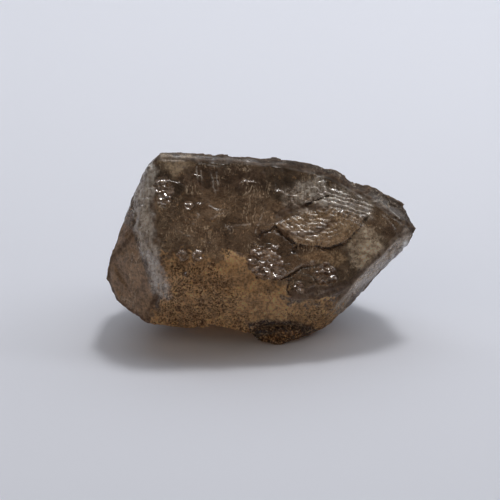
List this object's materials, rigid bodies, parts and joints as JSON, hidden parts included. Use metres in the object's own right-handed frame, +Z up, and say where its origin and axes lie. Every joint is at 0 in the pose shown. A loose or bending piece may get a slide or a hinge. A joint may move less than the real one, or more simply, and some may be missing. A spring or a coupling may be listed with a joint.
{
  "type": "smoky quartz crystal",
  "caption": "Rough broken chunk of clear brown quartz with one broad glassy face, a frosted ridge, a pitted crust below and a blunt pointed end; it lies on a level facet.",
  "frame": {"origin": "under the middle of the stone's box, on the surface that it rests on", "axes": "+X along the stone to its pointed end, +Y to the back, away from the broad clear face, +Z up"},
  "size_m": [0.0548, 0.0318, 0.031],
  "materials": {
    "smoky_quartz": "gloss"
  },
  "bodies": {
    "root": {"crystal": "smoky_quartz"}
  },
  "joints": []
}
